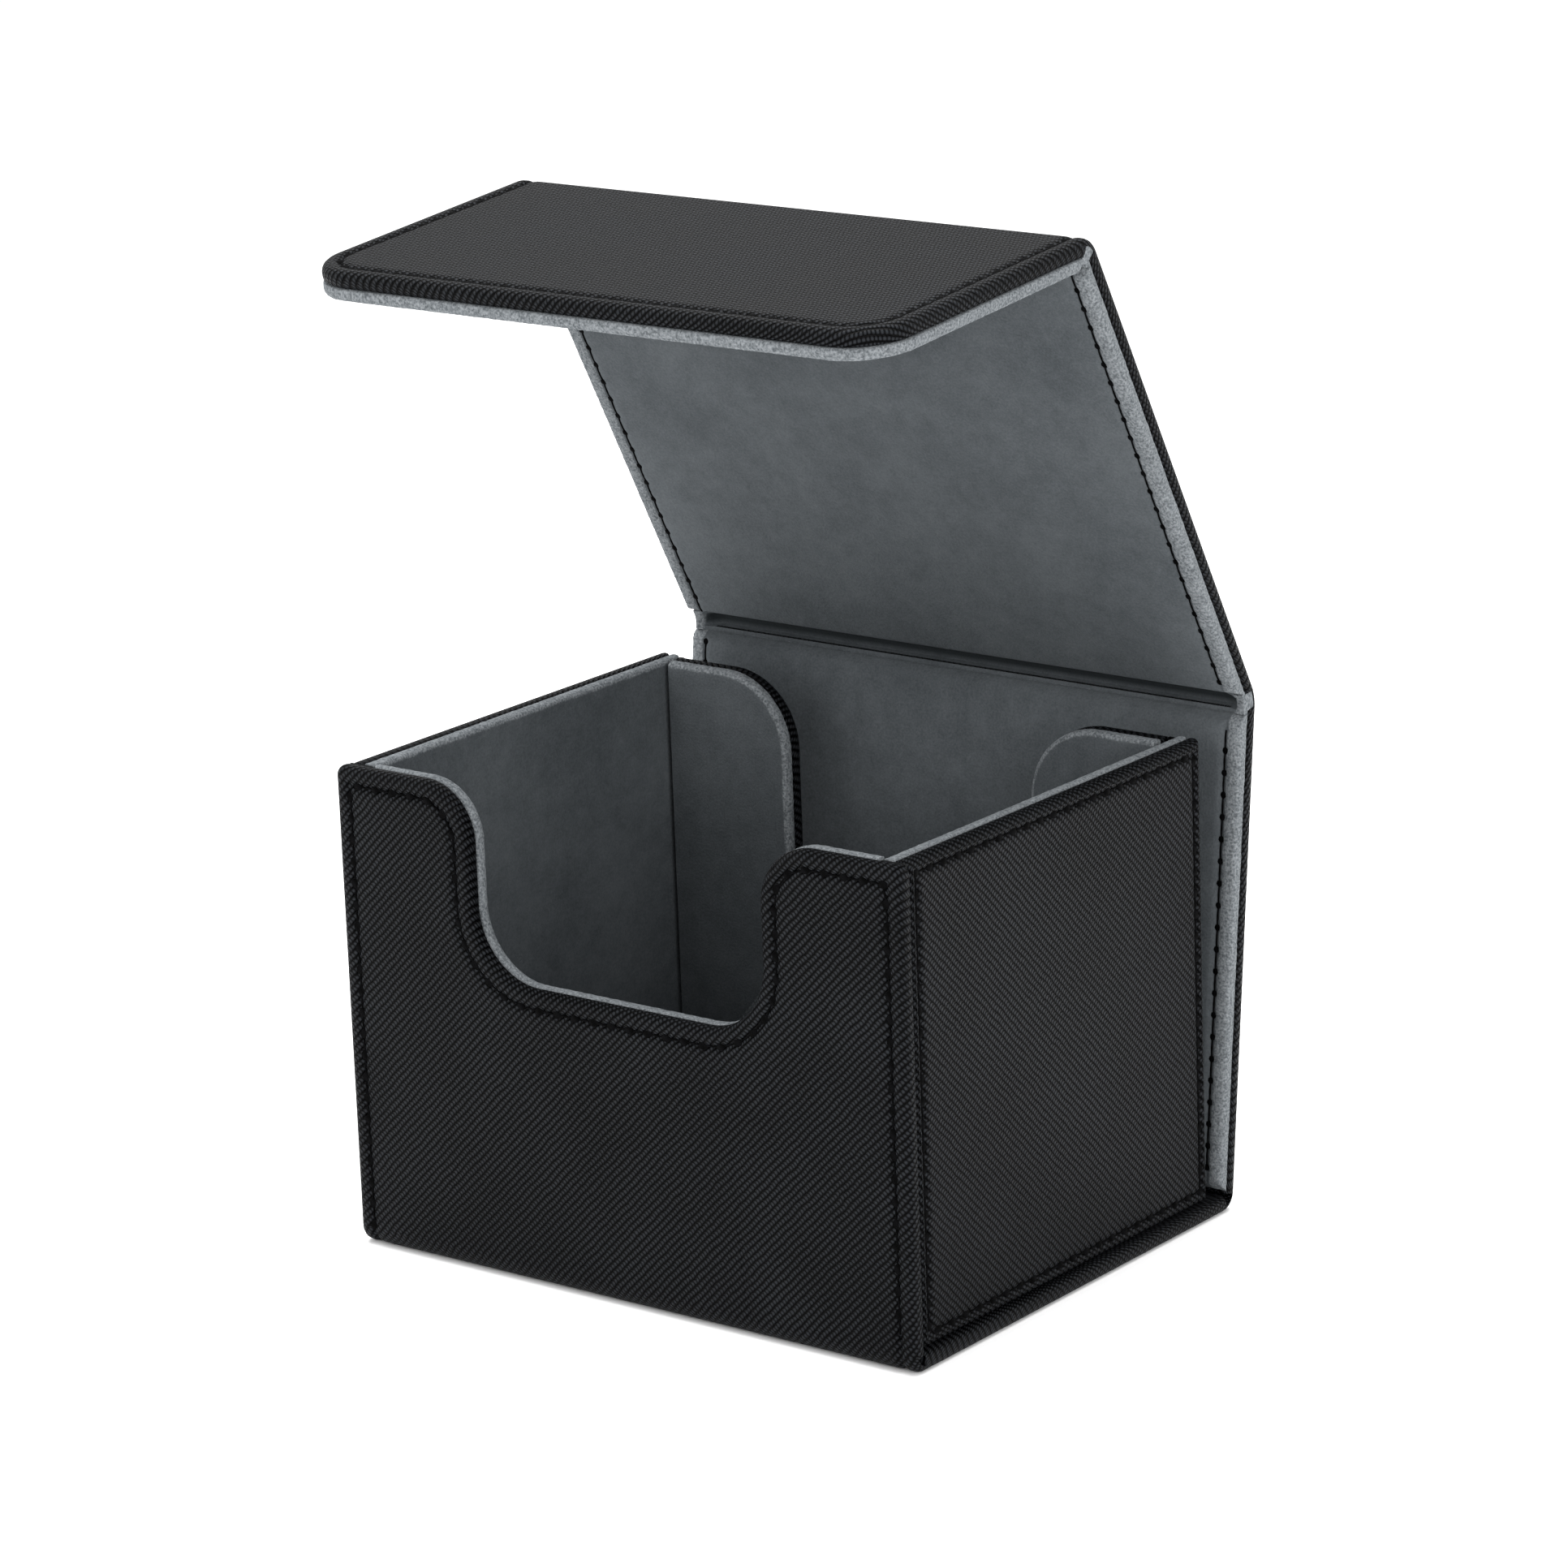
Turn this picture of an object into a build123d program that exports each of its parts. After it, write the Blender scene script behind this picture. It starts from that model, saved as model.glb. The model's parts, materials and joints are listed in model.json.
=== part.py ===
from build123d import *
import os
from dataclasses import dataclass, field
from math import radians, sqrt, tan

# Card deck box: a folding case of leather-covered board panels.
# One strip of five panels (front flap, lid, back, bottom, front) carries two wings on its
# front panel, each a side and a rear flap. Every fold is a living hinge.
# Frame: origin at the middle of the bottom panel's underside, +X to the right as seen from
# the front, +Y to the back, +Z up. Millimetres.

# ---------------------------------------------------------------- driving dimensions
# The box, over its outer faces, when it is assembled and shut
box_width = 105.0
box_depth = 83.2
wall_height = 75.8
flap_length = 53.0

# A panel's layers, from outside to inside
leather = 0.8
board = 1.8
lining = 2.0
board_fit = 0.1
edge_roll = 1.2

# Folds of the long strip
pivot_depth = 1.0
fold_clearance = 0.2
lining_step = 0.6
crease_lining = 0.6

# Lid and front flap
lid_clearance = 0.3
flap_clearance = 0.5
flap_corner_radius = 9.0

# Thumb cut-out in the front panel
cutout_width = 54.0
cutout_depth = 29.5
cutout_lower_radius = 11.0
cutout_shoulder_radius = 9.0
panel_corner_radius = 1.5

# Sides and rear flaps
side_recess = 0.8
side_gap = 0.4
tape_inset = 0.2
lining_gap = 0.3
rear_clearance = 1.6
corner_setback = 1.0
corner_pivot_inset = 0.3
rear_flap_reach = 28.4
rear_flap_lift = 0.4
rear_flap_top_radius = 12.0
rear_flap_lower_radius = 36.0

# Seams
seam_margin = 2.8
side_seam_margin = 2.0
seam_groove_width = 0.9
seam_groove_depth = 0.35
thread_width = 0.5
thread_height = 0.3

# Disc magnets in the boards
magnet_radius = 5.0
magnet_thickness = 1.5
magnet_fit = 0.15
magnet_edge = 1.0
closure_magnet_x = 16.0
rear_magnet_edge = 9.0

# Rest pose: open, with the lid over the box, in degrees from the shut box
back_lean = 6.0
lid_opening = 56.0
flap_opening = 22.7

# ---------------------------------------------------------------- derived places
shell = leather + board
wall = shell + lining
half_width = box_width / 2
front_y = -box_depth / 2
back_y = box_depth / 2
cutout_floor = wall_height - cutout_depth

board_setback = shell + fold_clearance
lining_setback = board_setback + lining_step
lining_bevel = wall - lining_setback + 2 * fold_clearance

lid_top = wall_height + lid_clearance + wall
lid_length = box_depth + flap_clearance + wall
lid_front_y = front_y - flap_clearance - wall

side_x = half_width - side_recess
side_start = shell + side_gap
rear_y = back_y - wall - rear_clearance
corner_depth = wall + corner_setback
inner_half_width = side_x - wall - lining_gap
rear_flap_bottom = wall + rear_flap_lift

# The magnets sit clear of the seam under the cut-out and of the rear flap's round corner
closure_magnet_height = cutout_floor - seam_margin - magnet_edge - magnet_radius
rear_magnet_height = wall_height - rear_flap_top_radius - seam_margin - magnet_radius
rear_magnet_x = side_x - rear_flap_reach + rear_magnet_edge

# Axes of the long strip's folds in the shut box, as (y, z)
front_fold_axis = (front_y + pivot_depth, pivot_depth)
back_fold_axis = (back_y - pivot_depth, pivot_depth)
lid_fold_axis = (back_y - pivot_depth, lid_top - pivot_depth)
flap_fold_axis = (lid_front_y + pivot_depth, lid_top - pivot_depth)

# Axes of the wings' folds, as (x, y) on the right-hand side
side_fold_axis = (side_x, front_y + side_start - side_gap / 2)
rear_flap_fold_axis = (side_x - wall - corner_pivot_inset, rear_y - wall - corner_pivot_inset)


def turned_back(axis, degrees):
    """The move that swings a piece about an X-wise axis so that it opens by so many degrees."""
    y, z = axis
    return Pos(0, y, z) * Rot(-degrees, 0, 0) * Pos(0, -y, -z)


back_rest = turned_back(back_fold_axis, back_lean)
lid_rest = back_rest * turned_back(lid_fold_axis, lid_opening)
flap_rest = lid_rest * turned_back(flap_fold_axis, flap_opening)


def laid(origin, along, inward):
    """A flat panel's place: its Y runs along one direction, its Z into the box."""
    across = Vector(*along).cross(Vector(*inward))
    return Plane(origin=origin, x_dir=across, z_dir=inward).location


# ---------------------------------------------------------------- flat outlines
# A panel asks its outline for the edges moved in by an inset, and says where they stop at
# its near and far folds. A free edge has a place of its own.
def outline(*edges):
    return make_face(Curve() + list(edges))


def rectangle(low_u, high_u, low_v, high_v, low_radius=0.0, high_radius=0.0):
    corners = [(low_u, low_v), (high_u, low_v), (high_u, high_v), (low_u, high_v)]
    radii = [low_radius, low_radius, high_radius, high_radius]
    return make_face(FilletPolyline(*corners, radius=radii, close=True))


def strip_outline(inset, near, far):
    """Lid, back and bottom: free at the two side edges."""
    return rectangle(inset - half_width, half_width - inset, near, far)


def inner_strip_outline(inset, near, far):
    """The bottom's lining, which lies between the sides."""
    return rectangle(-inner_half_width, inner_half_width, near, far)


def flap_outline(inset, near, far):
    """Front flap: its free edge has round corners."""
    return rectangle(
        inset - half_width,
        half_width - inset,
        near,
        flap_length - inset,
        high_radius=flap_corner_radius - inset,
    )


def cutout_panel(half, inset, near):
    """Front panel of a given half width, with the thumb cut-out in its top edge."""
    top = wall_height - inset
    floor = cutout_floor - inset
    cut = cutout_width / 2 + inset
    right = [(half, near), (half, top), (cut, top), (cut, floor)]
    left = [(-u, v) for u, v in reversed(right)]
    corner = max(panel_corner_radius - inset, 0)
    radii = [0, corner, cutout_shoulder_radius - inset, cutout_lower_radius + inset]
    return make_face(FilletPolyline(*right, *left, radius=radii + radii[::-1], close=True))


def front_outline(inset, near, far):
    return cutout_panel(half_width - inset, inset, near)


def inner_front_outline(inset, near, far):
    """The front's lining, which lies between the sides."""
    return cutout_panel(inner_half_width, 0, near)


def side_outline(inset, near, far):
    """Side panel, stitched all round; drawn from the front edge to the rear one."""
    return rectangle(
        side_start + inset,
        rear_y - front_y - inset,
        side_start + inset,
        wall_height - inset,
        low_radius=max(panel_corner_radius - inset, 0),
    )


def rear_flap_outline(inset, near, far):
    """Rear flap: X is height, Y is the reach from the side's outer face."""
    low = rear_flap_bottom
    top = wall_height - inset
    end = rear_flap_reach - inset
    corner = rear_flap_top_radius - inset
    sweep = rear_flap_lower_radius - inset
    centre_height = low + rear_flap_lower_radius
    centre_reach = rear_flap_reach - rear_flap_lower_radius
    slant = sqrt(0.5)
    near_height = centre_height - sqrt(sweep**2 - (near - centre_reach) ** 2)
    middle_reach = (near + end) / 2
    middle_height = centre_height - sqrt(sweep**2 - (middle_reach - centre_reach) ** 2)
    corner_middle = (
        top - corner + corner * slant,
        end - corner + corner * slant,
    )
    return outline(
        Line((near_height, near), (top, near)),
        Line((top, near), (top, end - corner)),
        ThreePointArc((top, end - corner), corner_middle, (top - corner, end)),
        Line((top - corner, end), (centre_height, end)),
        ThreePointArc(
            (centre_height, end), (middle_height, middle_reach), (near_height, near)
        ),
    )


def flipped(outline_function):
    """The same outline for the other hand."""
    return lambda inset, near, far: mirror(outline_function(inset, near, far), about=Plane.YZ)


# ---------------------------------------------------------------- panels
@dataclass
class Panel:
    """A stiff wall: flat, outer face at Z = 0, with a fold at its near or far end, or none."""

    name: str
    shape: object
    place: Location
    near: float = 0.0
    far: float = 0.0
    folds: tuple = ()
    lining_shape: object = None
    margin: float = seam_margin
    magnets: list = field(default_factory=list)

    def ends(self, setback, reach=0.0):
        """Where the panel stops at its folds, or runs past them by a reach."""
        near = self.near + setback - reach if "near" in self.folds else self.near - reach
        far = self.far - setback + reach
        return near, far

    def flat(self, inset=0.0):
        return self.shape(inset, *self.ends(board_setback))

    def seam(self, width):
        """The band along the stitched edges; it runs out over the folds."""
        outer = self.shape(self.margin - width / 2, *self.ends(board_setback, self.margin))
        inner = self.shape(self.margin + width / 2, *self.ends(board_setback, 2 * self.margin))
        return (outer - inner) & self.flat()


def raised(face, start, height):
    """A flat outline as a solid from one depth in the panel, so many millimetres thick."""
    return Pos(0, 0, start) * extrude(face, height, dir=(0, 0, 1))


def cover(panel):
    """Leather, turned in round the board and grooved for the seam."""
    sheet = raised(panel.flat(), 0, shell)
    outer_face = sheet.faces().sort_by(Axis.Z)[0]
    sheet = fillet(outer_face.edges(), edge_roll)
    sheet -= raised(panel.flat(leather), leather, board)
    return sheet - raised(panel.seam(seam_groove_width), 0, seam_groove_depth)


def stiffener(panel):
    """Greyboard, with a pocket for each magnet."""
    sheet = raised(panel.flat(leather + board_fit), leather, board)
    for u, v in panel.magnets:
        hole = Cylinder(magnet_radius + magnet_fit, magnet_thickness)
        sheet -= Pos(u, v, shell - magnet_thickness / 2) * hole
    return sheet


def lining_sheet(panel):
    """Suede over a thin pad, bevelled at the folds so that the panels can shut."""
    shape = panel.lining_shape or panel.shape
    near, far = panel.ends(lining_setback if panel.folds else 0.0)
    sheet = raised(shape(0, near, far), shell, lining)
    for end, inward in (("near", 1), ("far", -1)):
        if end in panel.folds:
            edge = near if end == "near" else far
            wedge = Polyline(
                (-box_width, edge, wall - lining_bevel),
                (-box_width, edge, wall),
                (-box_width, edge + inward * lining_bevel, wall),
                close=True,
            )
            sheet -= extrude(make_face(wedge), 2 * box_width, dir=(1, 0, 0))
    return sheet


def stitching(panel):
    return raised(panel.seam(thread_width), seam_groove_depth - thread_height, thread_height)


def magnet_discs(panel):
    disc = Cylinder(magnet_radius, magnet_thickness)
    return [Pos(u, v, shell - magnet_thickness / 2) * disc for u, v in panel.magnets]


def wing(hand):
    """The side and the rear flap of one wing; hand is 1 on the right and -1 on the left."""
    label = "right" if hand > 0 else "left"
    side_turn = flipped(side_outline) if hand > 0 else side_outline
    flap_turn = rear_flap_outline if hand > 0 else flipped(rear_flap_outline)
    side = Panel(
        f"{label}_side",
        side_turn,
        laid((hand * side_x, front_y, 0), (0, 0, 1), (-hand, 0, 0)),
        margin=side_seam_margin,
    )
    rear_flap = Panel(
        f"{label}_rear_flap",
        flap_turn,
        laid((hand * side_x, rear_y, 0), (-hand, 0, 0), (0, -1, 0)),
        near=corner_depth,
        magnets=[(hand * rear_magnet_height, rear_flap_reach - rear_magnet_edge)],
    )
    return [side, rear_flap]


front = Panel(
    "front",
    front_outline,
    laid((0, front_y, 0), (0, 0, 1), (0, 1, 0)),
    folds=("near",),
    lining_shape=inner_front_outline,
    magnets=[(u, closure_magnet_height) for u in (-closure_magnet_x, closure_magnet_x)],
)
bottom = Panel(
    "bottom",
    strip_outline,
    laid((0, front_y, 0), (0, 1, 0), (0, 0, 1)),
    far=box_depth,
    folds=("near", "far"),
    lining_shape=inner_strip_outline,
)
back = Panel(
    "back",
    strip_outline,
    back_rest * laid((0, back_y, 0), (0, 0, 1), (0, -1, 0)),
    far=lid_top,
    folds=("near", "far"),
    magnets=[(u, rear_magnet_height) for u in (-rear_magnet_x, rear_magnet_x)],
)
lid = Panel(
    "lid",
    strip_outline,
    lid_rest * laid((0, back_y, lid_top), (0, -1, 0), (0, 0, -1)),
    far=lid_length,
    folds=("near", "far"),
)
front_flap = Panel(
    "front_flap",
    flap_outline,
    flap_rest * laid((0, lid_front_y, lid_top), (0, 0, -1), (0, 1, 0)),
    folds=("near",),
    magnets=[(u, lid_top - closure_magnet_height) for u in (-closure_magnet_x, closure_magnet_x)],
)
panels = [bottom, front, back, lid, front_flap] + wing(-1) + wing(1)


# ---------------------------------------------------------------- folds
def spot(panel, v, depth):
    return (panel.place * Pos(0, v, depth)).position


def fold_band(first, first_v, second, second_v, depth, thickness, half):
    """A crease: a sheet bent smoothly from one panel's end to the next panel's."""
    start, finish = spot(first, first_v, depth), spot(second, second_v, depth)
    inward = first.place.z_axis.direction + second.place.z_axis.direction
    bend = radians(first.place.z_axis.direction.get_angle(second.place.z_axis.direction))
    bow = (finish - start).length / 2 * tan(bend / 4)
    crown = (start + finish) / 2 - inward.normalized() * bow
    inner_start = spot(first, first_v, depth + thickness)
    inner_finish = spot(second, second_v, depth + thickness)
    inner_bow = (inner_finish - inner_start).length / 2 * tan(bend / 4)
    inner_crown = (inner_start + inner_finish) / 2 - inward.normalized() * inner_bow
    section = outline(
        ThreePointArc(start, crown, finish),
        Line(finish, inner_finish),
        ThreePointArc(inner_finish, inner_crown, inner_start),
        Line(inner_start, start),
    )
    return Pos(-half, 0, 0) * extrude(section, 2 * half, dir=(1, 0, 0))


strip_folds = {
    "front_fold": (bottom, board_setback, front, board_setback, inner_half_width),
    "back_fold": (bottom, box_depth - board_setback, back, board_setback, inner_half_width),
    "lid_fold": (back, lid_top - board_setback, lid, board_setback, half_width - board_fit),
    "flap_fold": (lid, lid_length - board_setback, front_flap, board_setback,
                  half_width - board_fit),
}


def hinge_tape(hand):
    """The strip that joins a side to the back of the front panel's board."""
    low = side_x - wall + tape_inset
    high = side_x - tape_inset
    width = high - low
    height = wall_height - side_start - 2 * tape_inset
    middle = hand * (low + high) / 2
    tape = Box(width, side_gap, height)
    return Pos(middle, front_y + shell + side_gap / 2, side_start + tape_inset + height / 2) * tape


def corner_leather(hand):
    """The leather that turns the inside of the corner from a side to its rear flap."""
    height = wall_height - rear_flap_bottom - 2 * tape_inset
    at_x = hand * (side_x - wall - corner_setback / 2)
    at_y = rear_y - tape_inset - leather / 2
    at_z = rear_flap_bottom + tape_inset + height / 2
    return Pos(at_x, at_y, at_z) * Box(corner_setback, leather, height)


# ---------------------------------------------------------------- nodes
nodes = {}
for panel in panels:
    nodes[f"{panel.name}_cover"] = panel.place * cover(panel)
    nodes[f"{panel.name}_board"] = panel.place * stiffener(panel)
    nodes[f"{panel.name}_lining"] = panel.place * lining_sheet(panel)
    nodes[f"{panel.name}_stitching"] = panel.place * stitching(panel)
    discs = [panel.place * disc for disc in magnet_discs(panel)]
    if len(discs) > 1:
        nodes[f"{panel.name}_magnets"] = Compound(children=discs)
    elif discs:
        nodes[f"{panel.name}_magnet"] = discs[0]

for name, (first, first_v, second, second_v, lining_half) in strip_folds.items():
    nodes[f"{name}_leather"] = fold_band(
        first, first_v, second, second_v, 0, leather, half_width - board_fit
    )
    nodes[f"{name}_lining"] = fold_band(
        first, first_v, second, second_v, leather, crease_lining, lining_half
    )

for hand, label in ((-1, "left"), (1, "right")):
    nodes[f"{label}_side_hinge_tape"] = hinge_tape(hand)
    nodes[f"{label}_rear_corner_leather"] = corner_leather(hand)

os.makedirs("parts", exist_ok=True)
for name, solid in nodes.items():
    export_step(solid, f"parts/{name}.step")

fold_axes = {
    "front_fold": Pos(0, *front_fold_axis),
    "back_fold": Pos(0, *back_fold_axis),
    "lid_fold": back_rest * Pos(0, *lid_fold_axis),
    "flap_fold": lid_rest * Pos(0, *flap_fold_axis),
    "right_side_fold": Pos(*side_fold_axis, 0),
    "right_rear_flap_fold": Pos(*rear_flap_fold_axis, 0),
}
for name, axis in fold_axes.items():
    print(name, "axis passes through", [round(value, 3) for value in axis.position])
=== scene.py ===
import json
import math

import bmesh
import bpy
from mathutils import Matrix, Vector, kdtree, noise


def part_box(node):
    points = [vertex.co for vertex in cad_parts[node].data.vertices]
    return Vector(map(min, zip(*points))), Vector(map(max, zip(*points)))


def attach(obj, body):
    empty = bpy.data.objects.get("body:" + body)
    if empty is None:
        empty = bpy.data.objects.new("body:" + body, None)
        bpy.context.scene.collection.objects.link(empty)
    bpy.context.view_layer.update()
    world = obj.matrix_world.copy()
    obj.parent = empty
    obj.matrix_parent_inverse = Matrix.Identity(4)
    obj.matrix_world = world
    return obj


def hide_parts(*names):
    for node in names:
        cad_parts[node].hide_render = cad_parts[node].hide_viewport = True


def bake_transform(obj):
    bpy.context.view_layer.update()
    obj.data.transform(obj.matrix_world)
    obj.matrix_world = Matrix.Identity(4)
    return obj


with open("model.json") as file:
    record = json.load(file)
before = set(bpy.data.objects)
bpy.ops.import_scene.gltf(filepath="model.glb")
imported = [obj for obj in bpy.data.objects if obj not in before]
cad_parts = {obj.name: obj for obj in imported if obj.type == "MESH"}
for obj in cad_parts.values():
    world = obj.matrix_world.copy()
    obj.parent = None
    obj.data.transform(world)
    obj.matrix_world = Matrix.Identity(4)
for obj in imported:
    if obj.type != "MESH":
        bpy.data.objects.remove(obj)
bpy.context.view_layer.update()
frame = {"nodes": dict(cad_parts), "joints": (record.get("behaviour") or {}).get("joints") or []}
noise.seed_set(1)           # without a seed, noise_vector() would differ from run to run

# A folding card case: nine leather-covered boards with suede linings, sewn along their free
# edges and joined by soft folds. Lengths are in millimetres until a piece is finished.
MM = 0.001
X_AXIS = Vector((1, 0, 0))
Y_AXIS = Vector((0, 1, 0))
Z_AXIS = Vector((0, 0, 1))

# ---------------------------------------------------------------- sizes of the soft work
STITCH = 3.4                # one stitch of the edge seam
STEP = STITCH / 8           # spacing of the points along an edge
SEAM_IN = 2.8               # seam to edge on the strip's panels
SIDE_SEAM_IN = 2.0          # seam to edge on the sides
SEAM_CLEAR = 0.3            # a seam stops this far short of a fold
THREAD = 0.2                # radius of the thread
NEEDLE_HOLE_SHADE = 0.9           # radius of the dark plug in a hole of the leather: the thread's end, widened into painted shade of the needle hole
LINING_HOLE_SHADE = NEEDLE_HOLE_SHADE * 0.6     # the same in a lining
DIMPLE_DEPTH = 0.32         # how far a needle hole draws the skin in
DIMPLE_WIDTH = 0.5          # and how far round it
CORNER = 1.5                # round corner of a wall panel
FLAP_CORNER = 9.0           # round corner of the front flap
ROUND_REACH = 5.0           # rings this much bigger than a corner's arc stay square
CUTOUT_HALF = 27.0          # half the width of the thumb cut-out
SHOULDER = 9.0              # thumb cut-out, at the top edge
CUTOUT_LOWER = 11.0         # thumb cut-out, at its floor
REAR_TOP = 12.0             # rear flap, upper corner
REAR_LOWER = 36.0           # rear flap, long lower curve
LEATHER = 0.8               # thickness of the leather
TURN_IN = 1.6               # leather turned in round a board's edge
WIDE_TURN_IN = 6.6          # the same on a panel whose lining is narrow
OVERRUN = 9.0               # a sheet is laid out this far past a fold, then cut off there
FOLD_BEVEL = 1.6            # linings slope off at a fold so that the panels can shut
CREASE_PAD = 1.1            # height of the lining's floor in a fold
CREASE_RIM = 2.72           # its height where it laps over the boards' ends
CREASE_WALL = 0.5           # width of the step between those two heights
CREASE_LAP = 0.62           # how far the lining laps over the boards
LAP_THICKNESS = 0.1
CREASE_END = 3.6            # height of a crease's pinched ends
PINCH = 2.6                 # length of a pinched end
CREASE_GAP = 0.05           # between the leather and the lining of a crease
FUZZ = 0.07                 # unevenness of a lining's cut edge
FUZZ_GRAIN = 0.6            # size of its lumps
SLICES = 12                 # parts of a strip that bends at a corner
SHARP = math.radians(65)    # edges that turn more than this are not shaded as a curve

pivots = {j["name"]: Vector(j["pos_m"]) / MM for j in frame["joints"]}
ranges = {j["name"]: [math.radians(a) for a in j["range_deg"]] for j in frame["joints"]}
front_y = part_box("front_cover")[0].y / MM
side_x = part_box("right_side_cover")[1].x / MM
rear_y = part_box("right_rear_flap_cover")[1].y / MM
pivot_depth = pivots["front_fold"].y - front_y
magnet_clear = 1.0          # the seam under the thumb cut-out passes this far above the magnets
cutout_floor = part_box("front_magnets")[1].z / MM + SEAM_IN + magnet_clear


# ---------------------------------------------------------------- the panels' places
class Panel:
    """A flat frame of a panel: X across, Y along it from its fold, Z in from its outer face."""

    def __init__(self, name, origin, along, inward):
        self.name = name
        self.along = along
        self.inward = inward
        across = along.cross(inward)
        turn = Matrix((across, along, inward)).transposed().to_4x4()
        self.place = Matrix.Translation(origin) @ turn
        self.cover = self.extent("cover")
        self.lining = self.extent("lining")

    def extent(self, layer):
        """Lowest and highest corner of a CAD layer, in the panel's flat frame."""
        back = self.place.inverted()
        points = [back @ (v.co / MM) for v in frame["nodes"][f"{self.name}_{layer}"].data.vertices]
        low = Vector([min(p[i] for p in points) for i in range(3)])
        high = Vector([max(p[i] for p in points) for i in range(3)])
        return low, high


def strip_panel(name, fold, along, hand=1):
    """A panel of the long strip; its fold's axis runs a little in from its end and its face."""
    inward = X_AXIS.cross(along) * hand
    return Panel(name, pivots[fold] - (along + inward) * pivot_depth, along, inward)


lid_along = (pivots["flap_fold"] - pivots["lid_fold"]).normalized()
flap_along = Matrix.Rotation(ranges["flap_fold"][1], 3, "X") @ lid_along
bottom = strip_panel("bottom", "front_fold", (pivots["back_fold"] - pivots["front_fold"]).normalized())
back = strip_panel("back", "back_fold", (pivots["lid_fold"] - pivots["back_fold"]).normalized())
lid = strip_panel("lid", "lid_fold", lid_along)
front_flap = strip_panel("front_flap", "flap_fold", flap_along)
front = strip_panel("front", "front_fold", Z_AXIS.copy(), hand=-1)


# ---------------------------------------------------------------- outlines and rims
def clamped(share):
    return min(max(share, 0), 1)


def rectangle(low, high):
    return [(low[0], low[1]), (high[0], low[1]), (high[0], high[1]), (low[0], high[1])]


def rounded(point, corners):
    """Takes square rings round a corner to round ones.

    A corner is (x, y, toward_x, toward_y, radius); toward is 1 or -1, from the arc's centre to the corner.
    """
    for x, y, toward_x, toward_y, radius in corners:
        centre = Vector((x - toward_x * radius, y - toward_y * radius))
        out_x = (point.x - centre.x) * toward_x
        out_y = (point.y - centre.y) * toward_y
        far = max(out_x, out_y)
        if min(out_x, out_y) < 0 or not 0 < far < radius + ROUND_REACH:
            continue
        share = out_y / out_x if out_x >= out_y else 2 - out_x / out_y
        angle = share * math.pi / 4
        turned = Vector((toward_x * math.cos(angle), toward_y * math.sin(angle)))
        return centre + turned * far
    return point


def leather_rim(seam_in, turned_in):
    """Stations (inset, depth) of a cover: from the leather turned in, round the edge, over the seam."""
    return [
        (turned_in, 2.64), (0.7, 2.63), (0.28, 2.44), (0.06, 2.12), (0, 1.7), (0, 1.3), (0.1, 0.84),
        (0.34, 0.42), (0.72, 0.13), (1.15, 0.02), (seam_in - 0.95, 0.0), (seam_in - 0.55, 0.1),
        (seam_in - 0.28, 0.3), (seam_in, 0.42), (seam_in + 0.28, 0.3), (seam_in + 0.6, 0.1),
        (seam_in + 1.1, 0.01), (seam_in + 1.6, 0.0), (seam_in + 2.0, 0.0),
    ]


def suede_rim(seam_in):
    """Stations of a lining's edge; seam_in is 0 where no seam shows on the lining."""
    edge = [
        (1.5, 2.62), (0.4, 2.64), (0.1, 2.8), (0, 3.1), (0, 3.7), (0.08, 4.1), (0.3, 4.42), (0.75, 4.56),
    ]
    if not seam_in:
        return edge + [(1.3, 4.6), (1.9, 4.6), (2.3, 4.6)]
    return edge + [
        (1.4, 4.6), (seam_in - 0.7, 4.58), (seam_in - 0.3, 4.36), (seam_in, 4.24),
        (seam_in + 0.3, 4.36), (seam_in + 0.8, 4.56), (seam_in + 1.3, 4.6), (seam_in + 1.7, 4.6),
    ]


def cut_across(bm, places, way=Y_AXIS):
    """Adds a row of points across a mesh, square to one axis, at each place along it."""
    for along in places:
        geom = bm.verts[:] + bm.edges[:] + bm.faces[:]
        bmesh.ops.bisect_plane(bm, geom=geom, dist=1e-5, plane_co=way * along, plane_no=way)


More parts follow.
